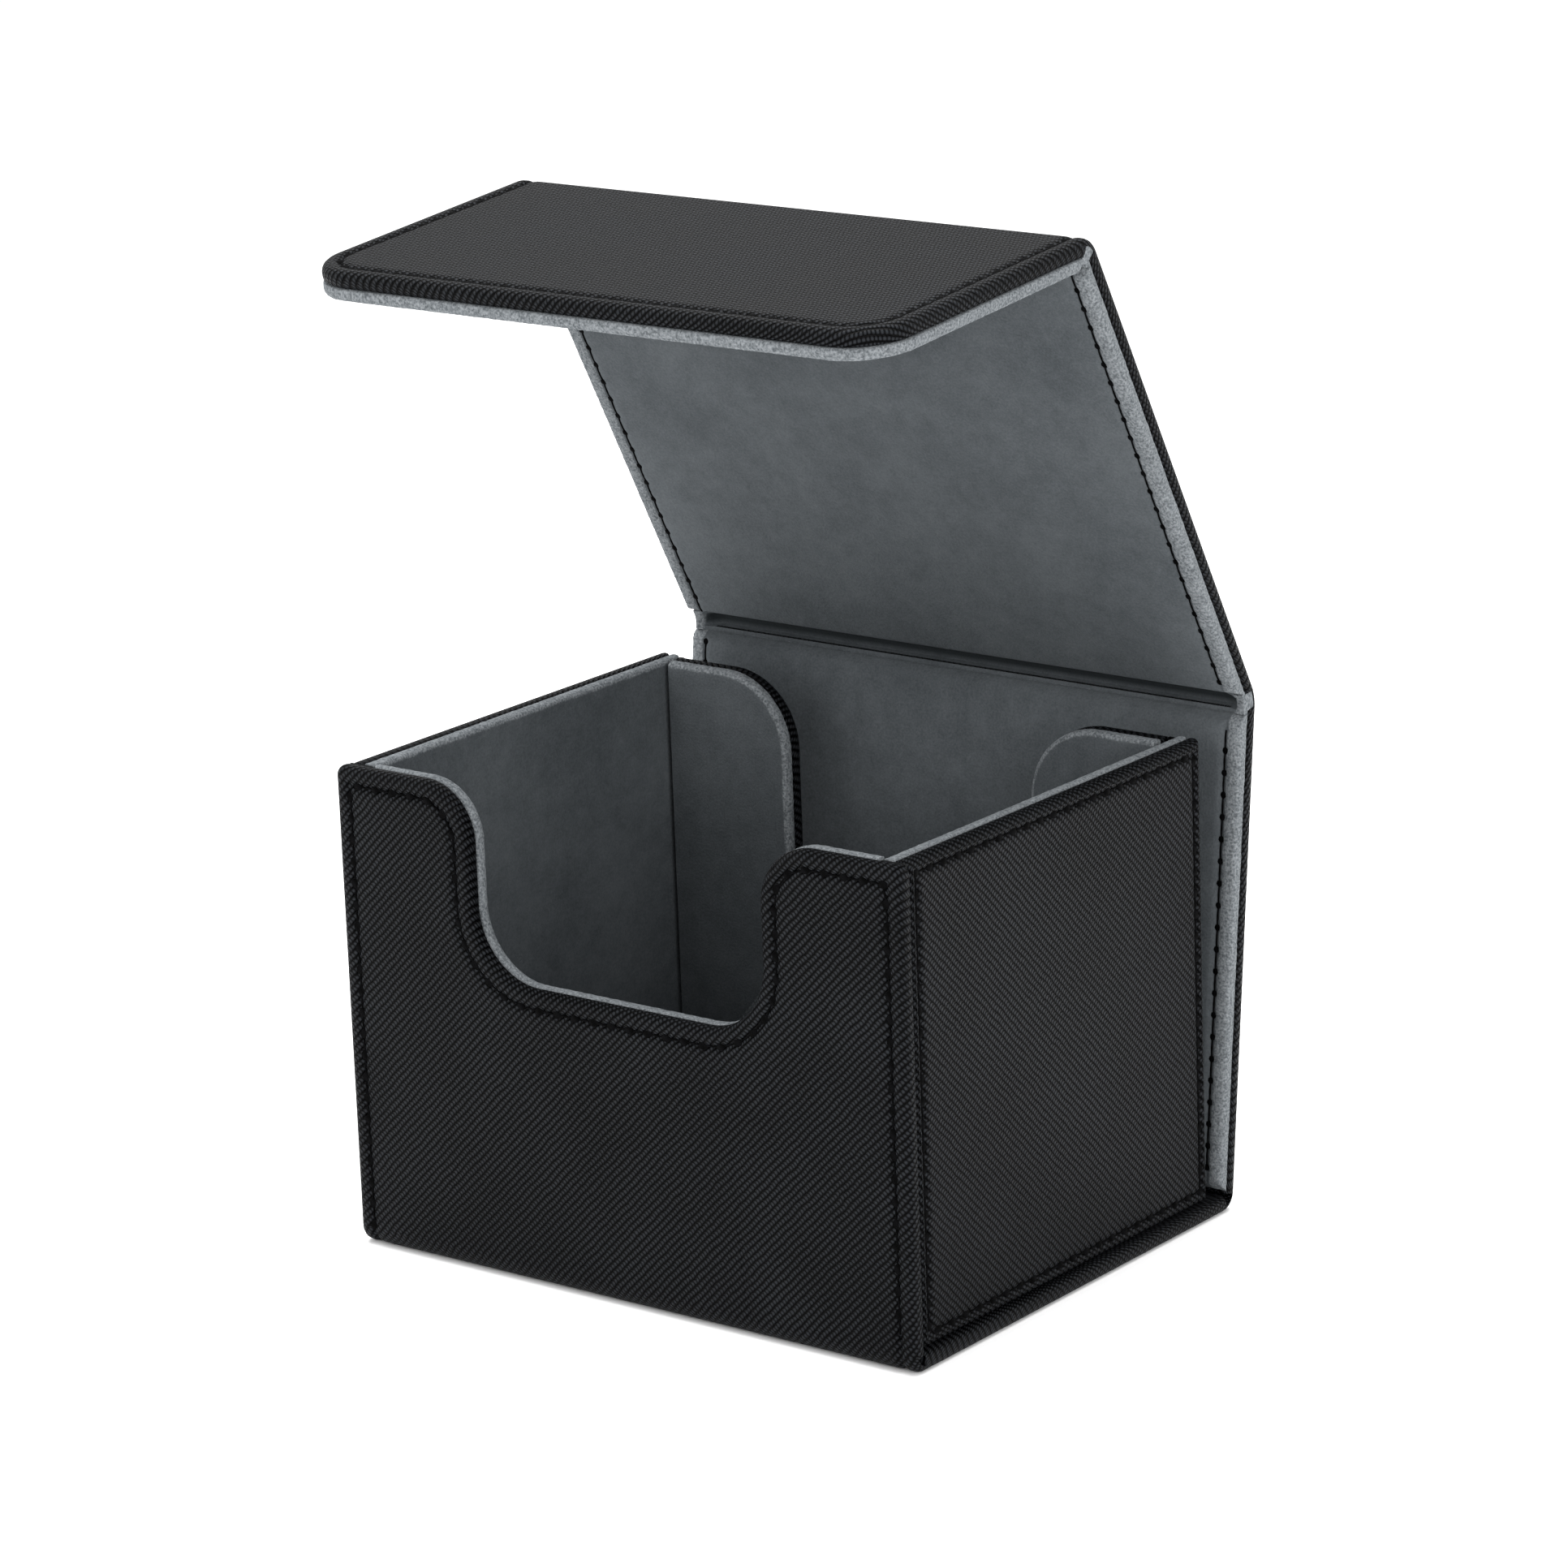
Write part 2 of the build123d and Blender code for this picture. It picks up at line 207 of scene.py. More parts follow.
class Sheet:
    """A sheet with a shaped rim all round, built flat in its panel's frame.

    Rings are kept in step with each other, so that each point has a place on the flat skin too.
    """

    def __init__(self, points, corners, rim, seam_in):
        self.bm = bmesh.new()
        self.skin = self.bm.verts.layers.float_vector.new("skin")
        self.rim = self.bm.verts.layers.float.new("rim")
        self.corners = corners
        self.seam_in = seam_in
        self.seam = None
        rings = self.nested_rings(points, len(rim))
        outline = [v.co.copy() for v in rings[0]]
        mitres = self.mitres(outline)
        for ring, (inset, depth), flat_inset in zip(rings, rim, self.unrolled(rim)):
            for v, start, mitre in zip(ring, outline, mitres):
                v.co = self.set_down(start + mitre * inset, depth)
                v[self.skin] = self.set_down(start + mitre * flat_inset, 0)
                v[self.rim] = flat_inset
            if seam_in and abs(inset - seam_in) < 0.01:
                self.seam = ring
        self.close()

    def nested_rings(self, points, count):
        """Rings of points along an outline, joined by faces, the outermost first; both ends are open."""
        face = self.bm.faces.new([self.bm.verts.new((x, y, 0)) for x, y in points])
        for edge in list(face.edges):
            cuts = max(round(edge.calc_length() / STEP) - 1, 1)
            bmesh.ops.subdivide_edges(self.bm, edges=[edge], cuts=cuts)
        for _ in range(count - 1):
            bmesh.ops.inset_region(self.bm, faces=[face], thickness=0.01, use_boundary=True)
        rings = [list(face.verts)]
        seen = set(rings[0])
        for _ in range(count - 1):
            links = [[e.other_vert(v) for e in v.link_edges] for v in rings[-1]]
            rings.append([next(v for v in ends if v not in seen) for ends in links])
            seen.update(rings[-1])
        self.bm.faces.remove(face)
        return rings[::-1]

    def close(self):
        """Fills every open ring of the sheet with triangles, since the outlines may be concave."""
        loose = dict.fromkeys(e for e in self.bm.edges if e.is_boundary)
        while loose:
            ring, ends = [], [next(iter(loose))]
            while ends:
                edge = ends.pop()
                if edge in loose:
                    del loose[edge]
                    ring.append(edge)
                    ends += [e for v in edge.verts for e in v.link_edges]
            bmesh.ops.triangle_fill(self.bm, use_beauty=True, edges=ring)
        bmesh.ops.recalc_face_normals(self.bm, faces=self.bm.faces[:])

    @staticmethod
    def mitres(outline):
        """The way inwards from each point.

        At a corner it moves both edges in by 1, and from corner to corner it turns evenly.
        """
        around = zip(outline[-1:] + outline[:-1], outline, outline[1:] + outline[:1])
        corners = []
        for k, (before, here, after) in enumerate(around):
            first = Z_AXIS.cross((here - before).normalized())
            second = Z_AXIS.cross((after - here).normalized())
            if first.dot(second) < 0.9:
                corners.append((k, (first + second) / (1 + first.dot(second))))
        count = len(outline)
        ways = [None] * count
        for (k, way), (next_k, next_way) in zip(corners, corners[1:] + corners[:1]):
            steps = (next_k - k) % count
            for step in range(steps):
                ways[(k + step) % count] = way.lerp(next_way, step / steps)
        return ways

    def set_down(self, point, depth):
        flat = rounded(point.xy, self.corners)
        return Vector((flat.x, flat.y, depth))

    @staticmethod
    def unrolled(rim):
        """Each station's inset on the flat skin, which is as long as the rim's own surface."""
        insets = [rim[-1][0]]
        for inner, outer in zip(rim[:0:-1], rim[-2::-1]):
            insets.append(insets[-1] - math.dist(inner, outer))
        return insets[::-1]

    def cut(self, along, keep_above):
        """Cuts the sheet square across at a fold and closes the cut."""
        side = -1 if keep_above else 1
        geom = self.bm.verts[:] + self.bm.edges[:] + self.bm.faces[:]
        bmesh.ops.bisect_plane(
            self.bm, geom=geom, dist=1e-5, plane_co=(0, along, 0), plane_no=(0, side, 0), clear_outer=True
        )
        self.close()

    def slope_off(self, end, way, top):
        """Bevels the pad down to a fold, in a few rounded steps."""
        cut_across(self.bm, [end + way * FOLD_BEVEL * k / 5 for k in range(1, 6)])
        for v in self.bm.verts:
            share = clamped((v.co.y - end) * way / FOLD_BEVEL)
            v.co.z = min(v.co.z, top - FOLD_BEVEL * (1 - share) ** 1.4)

    def stitches(self, near, far):
        """The two needle holes of each stitch; near and far are the folds it stops at, or None."""
        path = [v.co.copy() for v in self.seam]
        path.append(path[0])
        lengths = [0.0]
        for a, b in zip(path, path[1:]):
            lengths.append(lengths[-1] + (b - a).length)
        count = round(lengths[-1] / STITCH)
        holes, at = [], 0
        for k in range(count + 1):
            target = lengths[-1] * k / count
            while at < len(path) - 2 and lengths[at + 1] < target:
                at += 1
            span = lengths[at + 1] - lengths[at]
            holes.append(path[at].lerp(path[at + 1], (target - lengths[at]) / span if span else 0))
        low = -math.inf if near is None else near + SEAM_CLEAR
        high = math.inf if far is None else far - SEAM_CLEAR
        return [(a, b) for a, b in zip(holes, holes[1:]) if low < a.y < high and low < b.y < high]

    def dimple(self, pairs, into):
        """Presses the skin in round each needle hole; into is 1 or -1, the way that is inwards."""
        holes = kdtree.KDTree(2 * len(pairs))
        for k, hole in enumerate(hole for pair in pairs for hole in pair):
            holes.insert((hole.x, hole.y, 0), k)
        holes.balance()
        for v in self.bm.verts:
            if abs(v[self.rim] - self.seam_in) < 1.2:
                near = holes.find((v.co.x, v.co.y, 0))[2]
                v.co.z += into * DIMPLE_DEPTH * math.exp(-(near / DIMPLE_WIDTH) ** 2)


def soften(bm, keep):
    """Makes a hand-cut edge: shifts the points by a smooth noise, except those to keep."""
    for v in bm.verts:
        if not keep(v):
            v.co += noise.noise_vector(v.co / FUZZ_GRAIN) * FUZZ


# ---------------------------------------------------------------- materials
def linear(hex_colour):
    """sRGB hex to linear RGBA."""
    values = [int(hex_colour[i:i + 2], 16) / 255 for i in (1, 3, 5)]
    return [v / 12.92 if v <= 0.04045 else ((v + 0.055) / 1.055) ** 2.4 for v in values] + [1.0]


def add(tree, kind, settings=None, **sockets):
    """Adds a node; sockets are values or the (node, output) pairs that feed them."""
    node = tree.nodes.new(kind)
    for name, value in (settings or {}).items():
        setattr(node, name, value)
    for name, value in sockets.items():
        key = int(name[1:]) if name[0] == "_" else name.replace("_", " ")
        if isinstance(value, tuple) and isinstance(value[0], bpy.types.Node):
            tree.links.new(value[0].outputs[value[1]], node.inputs[key])
        else:
            node.inputs[key].default_value = value
    return node


def finish(name, roughness, **sockets):
    """A new material with its shader; returns the material, its tree and the shader."""
    material = bpy.data.materials.new(name)
    material.use_nodes = True
    tree = material.node_tree
    shader = tree.nodes["Principled BSDF"]
    shader.inputs["Roughness"].default_value = roughness
    for socket, value in sockets.items():
        shader.inputs[socket.replace("_", " ")].default_value = value
    return material, tree, shader


def ramp(tree, feed, stops):
    node = add(tree, "ShaderNodeValToRGB", _0=feed)
    elements = node.color_ramp.elements
    for element, (place, colour) in zip(elements, stops):
        element.position = place
        element.color = linear(colour)
    for place, colour in stops[2:]:
        elements.new(place).color = linear(colour)
    return (node, "Color")


def maths(tree, operation, a, b=0.0):
    return (add(tree, "ShaderNodeMath", {"operation": operation}, _0=a, _1=b), "Value")


def cross_grain_leather():
    """PU leather embossed with a cross grain: slanting ribs cut into short beads, low sheen, near black."""
    material, tree, shader = finish("cross_grain_pu_leather", 0.42, IOR=1.3, Specular_IOR_Level=0.1)
    rib, bead = 0.95, 0.62      # spacing of the ribs and of the beads along them
    skin = (add(tree, "ShaderNodeUVMap", {"uv_map": "skin"}), "UV")
    wobble = (add(tree, "ShaderNodeTexNoise", Vector=skin, Scale=0.35, Detail=2.0), "Color")
    middle, reach = (0.5, 0.5, 0.5), (0.5, 0.5, 0)
    shift = add(tree, "ShaderNodeVectorMath", {"operation": "SUBTRACT"}, _0=wobble, _1=middle)
    bent = add(
        tree, "ShaderNodeVectorMath", {"operation": "MULTIPLY_ADD"}, _0=(shift, "Vector"), _1=reach, _2=skin
    )
    parts = add(tree, "ShaderNodeSeparateXYZ", Vector=(bent, "Vector"))
    u, v = (parts, "X"), (parts, "Y")
    over = maths(tree, "MULTIPLY", maths(tree, "ADD", u, v), math.sqrt(0.5) / rib)
    on = maths(tree, "MULTIPLY", maths(tree, "SUBTRACT", u, v), math.sqrt(0.5) / bead)
    staggered = maths(tree, "ADD", on, maths(tree, "MULTIPLY", maths(tree, "FLOOR", over), 0.5))
    ribs = maths(tree, "ABSOLUTE", maths(tree, "SINE", maths(tree, "MULTIPLY", over, math.pi)))
    beads = maths(tree, "ABSOLUTE", maths(tree, "SINE", maths(tree, "MULTIPLY", staggered, math.pi)))
    low_beads = maths(tree, "ADD", maths(tree, "MULTIPLY", beads, 0.62), 0.38)
    emboss = maths(tree, "MULTIPLY", maths(tree, "POWER", ribs, 0.7), maths(tree, "POWER", low_beads, 0.8))
    pores = (add(tree, "ShaderNodeTexNoise", Vector=skin, Scale=3.2, Detail=3.0), "Fac")
    height = maths(tree, "ADD", emboss, maths(tree, "MULTIPLY", pores, 0.25))
    handled = (add(tree, "ShaderNodeTexNoise", Vector=skin, Scale=0.05, Detail=3.0), "Fac")
    # painted light and shade of the grain: the beads on the ribs are painted lighter and the valleys near
    # black, as light and shade fall on the relief; the handled noise adds an uneven tone
    grain_shade_and_tone = maths(tree, "ADD", maths(tree, "MULTIPLY", emboss, 0.85), maths(tree, "MULTIPLY", handled, 0.3))
    colour = ramp(tree, grain_shade_and_tone, [(0.3, "#000000"), (1.0, "#27292c"), (0.62, "#030304")])
    tree.links.new(colour[0].outputs[0], shader.inputs["Base Color"])
    rough = add(tree, "ShaderNodeMapRange", Value=handled, To_Min=0.34, To_Max=0.48)
    tree.links.new(rough.outputs["Result"], shader.inputs["Roughness"])
    bump = add(tree, "ShaderNodeBump", Height=height, Strength=1.0, Distance=0.28 * MM)
    tree.links.new(bump.outputs["Normal"], shader.inputs["Normal"])
    return material


def brushed_suede():
    """Grey microsuede: a dull brushed nap, mottled where hands turned it, fuzzy at a cut edge; the cut edge
    is painted pale as a highlight, and the floor of a crease is painted dark as shade.
    """
    tones = [(0.3, "#404447"), (0.72, "#575b5e")]
    # painted highlight: the pale tones of a lining's cut edge, where light catches the rounded edge
    edge_highlight_tones = [(0.35, "#4c5053"), (0.68, "#84888b")]
    painted_shade_tone = linear("#272b2d")
    # painted shade: the dark tone of a crease's floor, where shade falls between the folded boards
    material, tree, shader = finish(
        "grey_microsuede", 0.95, Specular_IOR_Level=0.1, Sheen_Weight=0.12, Sheen_Roughness=0.5
    )
    shader.inputs["Sheen Tint"].default_value = linear("#aab2b6")
    place = (add(tree, "ShaderNodeTexCoord"), "Object")
    nap = (add(tree, "ShaderNodeTexNoise", Vector=place, Scale=0.3 / MM, Detail=4.0, Roughness=0.7), "Fac")
    fibre = (add(tree, "ShaderNodeTexNoise", Vector=place, Scale=1 / (0.35 * MM), Detail=2.0), "Fac")
    brushed = (add(tree, "ShaderNodeTexNoise", Vector=place, Scale=1 / (22 * MM), Detail=3.0), "Fac")
    mottle = maths(tree, "ADD", maths(tree, "MULTIPLY", nap, 0.45), maths(tree, "MULTIPLY", brushed, 0.55))
    speckled = maths(tree, "ADD", mottle, maths(tree, "MULTIPLY", maths(tree, "SUBTRACT", fibre, 0.5), 0.5))
    body = ramp(tree, speckled, tones)
    fuzz = maths(tree, "ADD", maths(tree, "MULTIPLY", fibre, 0.8), maths(tree, "MULTIPLY", nap, 0.2))
    # painted highlight of the cut edge; its fuzz comes from the fibre noise
    painted_edge_highlight = ramp(tree, fuzz, edge_highlight_tones)
    rim = (add(tree, "ShaderNodeAttribute", {"attribute_name": "edge"}), "Fac")
    ragged = maths(tree, "ADD", rim, maths(tree, "MULTIPLY", maths(tree, "SUBTRACT", nap, 0.5), 0.5))
    share = add(
        tree, "ShaderNodeMapRange", {"interpolation_type": "SMOOTHSTEP"},
        Value=ragged, From_Min=0.3, From_Max=0.7,
    )
    # painted shade: a crease's floor is mixed towards the dark shade tone
    pressed = (add(tree, "ShaderNodeAttribute", {"attribute_name": "pressed"}), "Fac")
    shaded_floor_colour = add(tree, "ShaderNodeMix", {"data_type": "RGBA"}, _0=pressed, _6=body, _7=painted_shade_tone)
    mix = add(
        tree, "ShaderNodeMix", {"data_type": "RGBA"}, _0=(share, "Result"), _6=(shaded_floor_colour, 2), _7=painted_edge_highlight
    )
    tree.links.new(mix.outputs[2], shader.inputs["Base Color"])
    rise = maths(tree, "ADD", fibre, maths(tree, "MULTIPLY", nap, 0.8))
    bump = add(tree, "ShaderNodeBump", Height=rise, Strength=0.8, Distance=0.12 * MM)
    tree.links.new(bump.outputs["Normal"], shader.inputs["Normal"])
    return material


def polyester_thread():
    """Black bonded thread: twisted plies that catch a faint line of light."""
    material, tree, shader = finish("black_polyester_thread", 0.8, Specular_IOR_Level=0.04)
    place = (add(tree, "ShaderNodeTexCoord"), "Object")
    diagonal = {"bands_direction": "DIAGONAL"}
    ply = (add(tree, "ShaderNodeTexWave", diagonal, Vector=place, Scale=1 / (4 * MM), Distortion=1.0), "Fac")
    # a faint painted highlight: the crests of the plies are painted a shade lighter than the black
    colour = ramp(tree, ply, [(0.0, "#000000"), (1.0, "#050506")])
    tree.links.new(colour[0].outputs[0], shader.inputs["Base Color"])
    bump = add(tree, "ShaderNodeBump", Height=ply, Strength=0.6, Distance=0.05 * MM)
    tree.links.new(bump.outputs["Normal"], shader.inputs["Normal"])
    return material


def woven_tape():
    """Hinge tape: black plain-weave cotton, dull, with a visible thread count."""
    material, tree, shader = finish("woven_hinge_tape", 0.9, Specular_IOR_Level=0.2)
    place = (add(tree, "ShaderNodeTexCoord"), "Object")
    thread_count = 1 / (10 * MM)
    upright, level = {"bands_direction": "Z"}, {"bands_direction": "Y"}
    warp = (add(tree, "ShaderNodeTexWave", upright, Vector=place, Scale=thread_count), "Fac")
    weft = (add(tree, "ShaderNodeTexWave", level, Vector=place, Scale=thread_count), "Fac")
    weave = maths(tree, "MULTIPLY", warp, weft)
    colour = ramp(tree, weave, [(0.0, "#0d0e0f"), (1.0, "#222426")])
    tree.links.new(colour[0].outputs[0], shader.inputs["Base Color"])
    bump = add(tree, "ShaderNodeBump", Height=weave, Strength=0.6, Distance=0.08 * MM)
    tree.links.new(bump.outputs["Normal"], shader.inputs["Normal"])
    return material


def greyboard():
    """Recycled grey board: matt pulp with flecks of fibre."""
    material, tree, shader = finish("recycled_greyboard", 0.95, Specular_IOR_Level=0.2)
    place = (add(tree, "ShaderNodeTexCoord"), "Object")
    pulp = (add(tree, "ShaderNodeTexNoise", Vector=place, Scale=1 / (0.8 * MM), Detail=6.0), "Fac")
    colour = ramp(tree, pulp, [(0.3, "#6f6a60"), (0.75, "#9a958a")])
    tree.links.new(colour[0].outputs[0], shader.inputs["Base Color"])
    bump = add(tree, "ShaderNodeBump", Height=pulp, Strength=0.5, Distance=0.05 * MM)
    tree.links.new(bump.outputs["Normal"], shader.inputs["Normal"])
    return material


def nickel_plate():
    """Nickel-plated magnet: bright warm-grey metal, dulled by fine tumbling marks."""
    material, tree, shader = finish("nickel_plated_magnet", 0.25, Metallic=1.0)
    place = (add(tree, "ShaderNodeTexCoord"), "Object")
    tumbled = (add(tree, "ShaderNodeTexNoise", Vector=place, Scale=1 / (0.5 * MM), Detail=4.0), "Fac")
    colour = ramp(tree, tumbled, [(0.2, "#b9b6ae"), (0.8, "#d3d0c8")])
    tree.links.new(colour[0].outputs[0], shader.inputs["Base Color"])
    rough = add(tree, "ShaderNodeMapRange", Value=tumbled, To_Min=0.18, To_Max=0.36)
    tree.links.new(rough.outputs["Result"], shader.inputs["Roughness"])
    return material


def painted_floor():
    """Studio floor: matt white paint, very slightly uneven."""
    material, tree, shader = finish("matt_white_floor", 0.8, Specular_IOR_Level=0.1)
    place = (add(tree, "ShaderNodeTexCoord"), "Object")
    uneven = (add(tree, "ShaderNodeTexNoise", Vector=place, Scale=6.0, Detail=2.0), "Fac")
    colour = ramp(tree, uneven, [(0.0, "#fbfbfb"), (1.0, "#ffffff")])
    tree.links.new(colour[0].outputs[0], shader.inputs["Base Color"])
    return material


leather = cross_grain_leather()
suede = brushed_suede()
thread = polyester_thread()
tape = woven_tape()
board = greyboard()
nickel = nickel_plate()
floor_paint = painted_floor()


# ---------------------------------------------------------------- pieces
def to_object(bm, name, material, place=None, skin_of=None):
    """Turns a finished bmesh into an object at the origin, in metres, with its skin map."""
    if skin_of:
        uv = bm.loops.layers.uv.new("skin")
        layer = bm.verts.layers.float_vector["skin"]
        for face in bm.faces:
            for loop in face.loops:
                loop[uv].uv = skin_of(loop.vert[layer])
    if place:
        bmesh.ops.transform(bm, matrix=place, verts=bm.verts[:])
    bmesh.ops.scale(bm, vec=(MM, MM, MM), verts=bm.verts[:])
    for face in bm.faces:
        face.smooth = True
    for edge in bm.edges:
        edge.smooth = edge.calc_face_angle(0) < SHARP
    mesh = bpy.data.meshes.new(name)
    bm.to_mesh(mesh)
    bm.free()
    mesh.materials.append(material)
    piece = bpy.data.objects.new(name, mesh)
    bpy.context.scene.collection.objects.link(piece)
    return piece


def sewn(pairs, out, hole):
    """Thread of a seam: a plump stitch between each two needle holes, and a dark plug in each hole, the
    thread's end widened into painted shade of the hole.
    """
    lift = Vector((0, 0, out * 0.02))
    overlap = 0.05
    plug_shape = Matrix.Diagonal((1, 1, 0.35, 1))
    bm = bmesh.new()
    for a, b in pairs:
        turn = (b - a).to_track_quat("X", "Z").to_matrix().to_4x4()
        size = Matrix.Diagonal(((b - a).length / 2 + overlap, THREAD, THREAD, 1))
        place = Matrix.Translation((a + b) / 2 + lift) @ turn @ size
        bmesh.ops.create_uvsphere(bm, u_segments=6, v_segments=5, radius=1, matrix=place)
        # painted shade: each plug is wider than the thread, to darken the needle hole as shade would
        plug = Matrix.Translation(a + lift) @ plug_shape
        bmesh.ops.create_uvsphere(bm, u_segments=7, v_segments=4, radius=hole, matrix=plug)
    return bm


def mark_edge_highlight(bm, rim_layer, width):
    """Share of a lining painted pale as a highlight at its fuzzy edge: 1 at its edge, 0 from a width
    inwards.
    """
    fade = 0.5
    edge = bm.verts.layers.float.new("edge")
    for v in bm.verts:
        v[edge] = clamped((width - v[rim_layer]) / fade)


def make_cover(panel, points, corners, seam_in, near=None, far=None, skin_of=None):
    """A panel's leather, cut at its folds, near and far; returns the stitches of its seam."""
    wide_lining = panel.lining[1].x > panel.cover[1].x - 1
    rim = leather_rim(seam_in, TURN_IN if wide_lining else WIDE_TURN_IN)
    sheet = Sheet(points, corners, rim, seam_in)
    pairs = sheet.stitches(near, far)
    sheet.dimple(pairs, 1)
    if near is not None:
        sheet.cut(near, True)
    if far is not None:
        sheet.cut(far, False)
    cover = to_object(sheet.bm, f"{panel.name}_leather_cover", leather, panel.place, skin_of)
    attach(cover, panel.name)
    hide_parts(f"{panel.name}_cover")
    return pairs


def make_lining(panel, points, corners, seam_in, near=None, far=None, butted=False):
    """A pad with a soft edge, cut at its folds; returns the stitches that show on it.

    The ends at near and far slope off, unless the pad is butted: then its end is square.
    """
    sheet = Sheet(points, corners, suede_rim(seam_in), seam_in)
    pairs = []
    if seam_in:
        pairs = sheet.stitches(near, far)
        sheet.dimple(pairs, -1)
    for end, way in ((near, 1), (far, -1)):
        if end is not None:
            sheet.cut(end, way > 0)
            if not butted:
                sheet.slope_off(end, way, panel.lining[1].z)
    # painted highlight on the pad's pale cut edge
    mark_edge_highlight(sheet.bm, sheet.rim, SEAM_IN - 0.3 if seam_in else 1.0)
    flat_from = seam_in + 1.2
    square_end = near + 0.01 if butted else -math.inf
    soften(sheet.bm, lambda v: v[sheet.rim] > flat_from or v.co.y < square_end)
    lining = to_object(sheet.bm, f"{panel.name}_suede_lining", suede, panel.place)
    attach(lining, panel.name)
    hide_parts(f"{panel.name}_lining")
    return pairs


def make_stitching(panel, outer_pairs, inner_pairs):
    """The thread of a panel's seam, on the leather and, where it shows, on the lining."""
    bm = sewn(outer_pairs, -1, NEEDLE_HOLE_SHADE)
    if inner_pairs:
        inner = sewn(inner_pairs, 1, LINING_HOLE_SHADE)
        mesh = bpy.data.meshes.new("inner")
        inner.to_mesh(mesh)
        inner.free()
        bm.from_mesh(mesh)
        bpy.data.meshes.remove(mesh)
    stitching = to_object(bm, f"{panel.name}_thread", thread, panel.place)
    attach(stitching, panel.name)
    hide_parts(f"{panel.name}_stitching")


def corner_pair(low_x, high_x, y, toward_y, radius):
    """The right and left corner at one end of a panel."""
    return [(high_x, y, 1, toward_y, radius), (low_x, y, -1, toward_y, radius)]


class Fold:
    """A crease between two panels of the strip, bent on the arc that is tangent to both."""

    def __init__(self, name, first, first_end, travel, second):
        self.name = name
        self.first = first
        self.second = second
        self.start = first.place @ Vector((0, first_end, 0))
        self.end = second.place @ Vector((0, second.cover[0].y, 0))
        self.travel = first.along * travel
        self.bend = self.travel.angle(second.along)
        self.radius = (self.end - self.start).length / 2 / math.sin(self.bend / 2)
        self.length = self.radius * self.bend
        self.centre = self.start + first.inward * self.radius

    def bent(self, point):
        """Takes a point of the flat strip onto the bend; past the bend's ends the strip goes straight on."""
        along = min(max(point.y, 0), self.length)
        angle = along / self.radius
        inward = self.first.inward
        outer = self.travel * math.sin(angle) - inward * math.cos(angle)
        ahead = self.travel * math.cos(angle) + inward * math.sin(angle)
        return self.centre + X_AXIS * point.x + outer * (self.radius - point.z) + ahead * (point.y - along)

    def valley(self, along):
        """Height of a crease's inner surface: it drops from the boards' inner faces to the pad's floor."""
        wall = clamped(min(along, self.length - along) / CREASE_WALL)
        return CREASE_RIM - (CREASE_RIM - CREASE_PAD) * wall ** 0.6

    def lay(self, bm, name, material, slot, node, skin_of=None):
        """Bends a flat strip onto the crease and puts it in the place of a CAD node, which it hides."""
        for v in bm.verts:
            v.co = self.bent(v.co)
        bmesh.ops.recalc_face_normals(bm, faces=bm.faces[:])
        piece = to_object(bm, name, material, None, skin_of)
        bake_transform(piece)
        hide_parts(node)


def make_fold_leather(fold, skin_start, skin_way):
    """The leather over a crease; its grain starts at skin_start along the strip and runs on skin_way."""
    low, high = fold.first.cover[0].x, fold.first.cover[1].x
    points = rectangle((low, -OVERRUN), (high, fold.length + OVERRUN))
    sheet = Sheet(points, [], leather_rim(SEAM_IN, WIDE_TURN_IN), SEAM_IN)
    sheet.cut(0, True)
    sheet.cut(fold.length, False)
    rows = 24
    cut_across(sheet.bm, [fold.length * k / rows for k in range(1, rows)])
    for v in sheet.bm.verts:
        v.co.z = min(v.co.z, fold.valley(v.co.y) - CREASE_GAP)
    fold.lay(
        sheet.bm, f"{fold.name}_leather_skin", leather, "black_leather", f"{fold.name}_leather",
        lambda skin: (skin.x, skin_start + skin_way * skin.y),
    )


def crease_pad(fold, half):
    """A flat pad as wide as a crease, with its rows of points close together where it will step down."""
    bm = bmesh.new()
    size = Matrix.Diagonal((2 * half, fold.length + 2 * CREASE_LAP, 1, 1))
    bmesh.ops.create_cube(bm, size=1, matrix=Matrix.Translation((0, fold.length / 2, 0)) @ size)
    long_edges = [e for e in bm.edges if abs((e.verts[0].co - e.verts[1].co).x) > half]
    bmesh.ops.subdivide_edges(bm, edges=long_edges, cuts=90)
    step = [-0.05, 0.0, 0.04, 0.1, 0.2, 0.35, CREASE_WALL]
    level = fold.length - 2 * CREASE_WALL
    middle = [CREASE_WALL + level * k / 6 for k in range(1, 6)]
    cut_across(bm, step + middle + [fold.length - along for along in step])
    return bm


def make_fold_lining(fold, half):
    """The suede floor of a crease, lapped over the ends of both boards and pinched at its own ends."""
    bm = crease_pad(fold, half)
    edge = bm.verts.layers.float.new("edge")
    pressed = bm.verts.layers.float.new("pressed")
    for v in bm.verts:
        along = v.co.y
        from_end = half - abs(v.co.x)
        from_middle = abs(2 * along / fold.length - 1)
        # painted shade: 1 down the middle of the crease's floor, fading towards both boards
        v[pressed] = clamped(1.5 - 1.8 * from_middle)
        # painted highlight: the pale cut edge at the crease's ends
        v[edge] = clamped((2.0 - from_end) / 0.5) * 0.8
        if v.co.z > 0:
            on_floor = 0.3 < along < fold.length - 0.3
            wrinkle = 0.04 * noise.noise(v.co / 1.5) if on_floor else 0
            height = fold.valley(along) + wrinkle
            pinched = clamped((PINCH - from_end) / 0.8)
            v.co.z = height + (CREASE_END - height) * pinched
        else:
            over_gap = 0 <= along <= fold.length
            v.co.z = LEATHER + CREASE_GAP if over_gap else CREASE_RIM - LAP_THICKNESS
    fold.lay(bm, f"{fold.name}_suede_floor", suede, "grey_suede", f"{fold.name}_lining")


